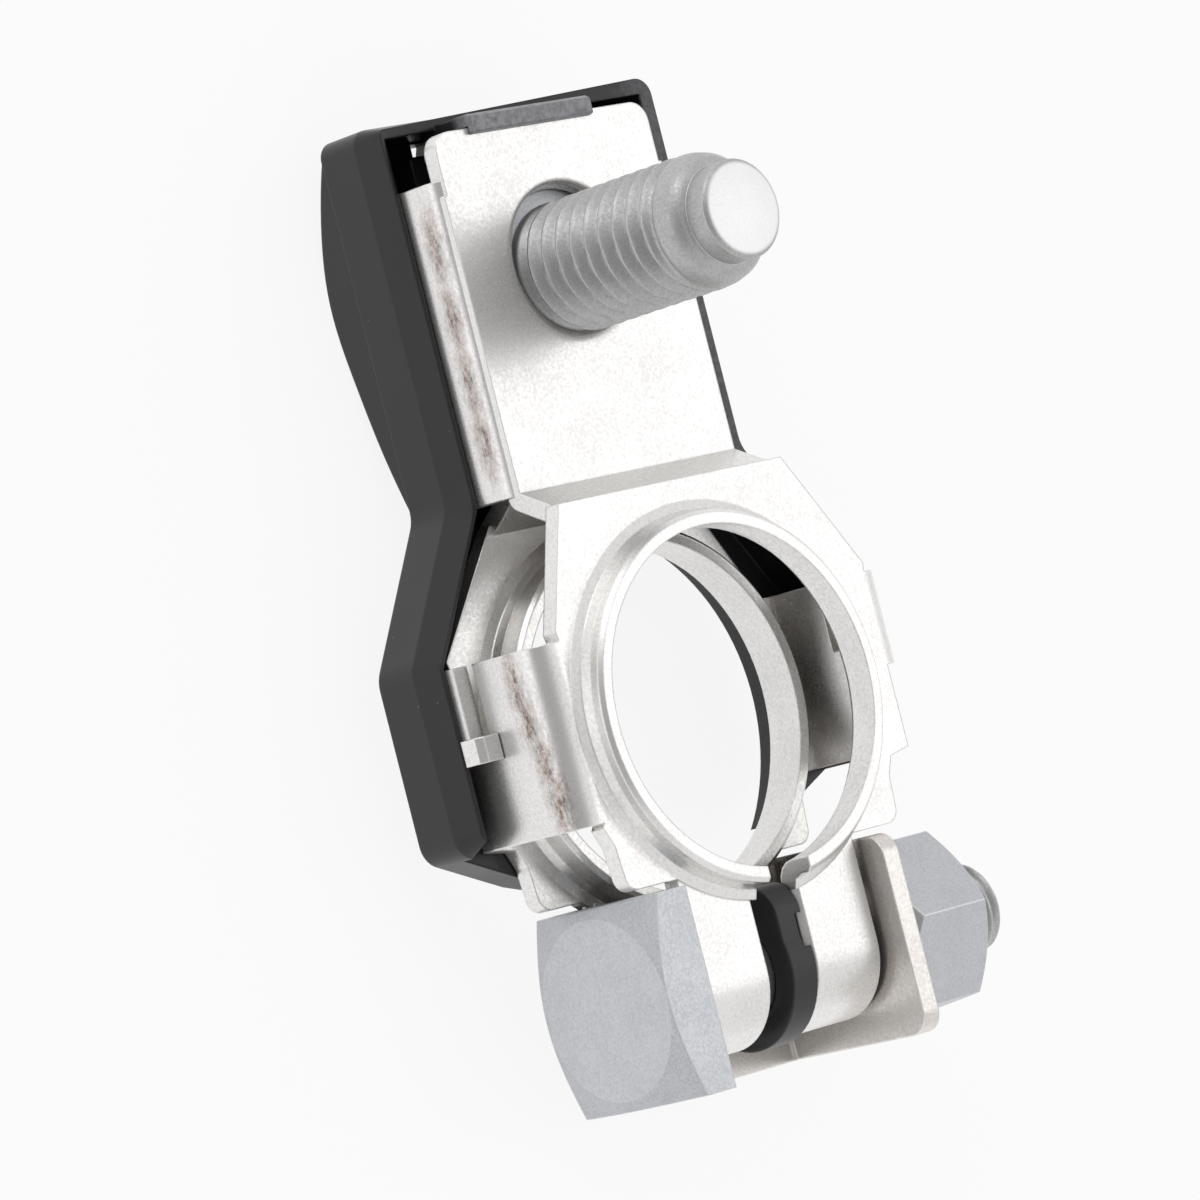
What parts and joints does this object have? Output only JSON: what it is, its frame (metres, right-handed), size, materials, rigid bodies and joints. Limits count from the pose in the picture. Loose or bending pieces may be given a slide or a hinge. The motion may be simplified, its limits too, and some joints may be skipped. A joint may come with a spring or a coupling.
{
  "type": "battery terminal clamp",
  "caption": "Folded sheet metal battery post clamp with a tapered split ring, cross bolt and nut, a threaded terminal stud and a moulded back cover.",
  "frame": {"origin": "centre of the post bore in the plane of the front collar's rim, where the post ends", "axes": "+Z along the post axis to the stud side, +X from the post bore to the terminal stud, +Y to the square head of the clamping bolt"},
  "size_m": [0.0585, 0.035, 0.0254],
  "materials": {
    "tinned_sheet": "matt tin plating",
    "tinned_plate": "matt tin plating",
    "zinc_steel": "dull zinc plating",
    "black_plastic": "satin moulded plastic"
  },
  "bodies": {
    "clamp": {"clamp_body": "tinned_sheet", "terminal_stud": "zinc_steel", "clamp_bolt": "zinc_steel", "spacer_ring": "black_plastic", "insulator_cover": "black_plastic"},
    "plate": {"lock_plate": "tinned_plate"},
    "nut": {"clamp_nut": "zinc_steel"}
  },
  "joints": [
    {"name": "plate_slide", "type": "slide", "parent": "clamp", "child": "plate", "axis": [0, -1, 0], "range_m": [0, 0.003]},
    {"name": "nut_turn", "type": "hinge", "parent": "plate", "child": "nut", "pos_m": [-0.0156, -0.0121, -0.00605], "axis": [0, -1, 0], "range_deg": [0, 1090]}
  ],
  "couplings": [
    {"joint": "nut_turn", "follows": "plate_slide", "rad_per_m": 6283.2}
  ]
}
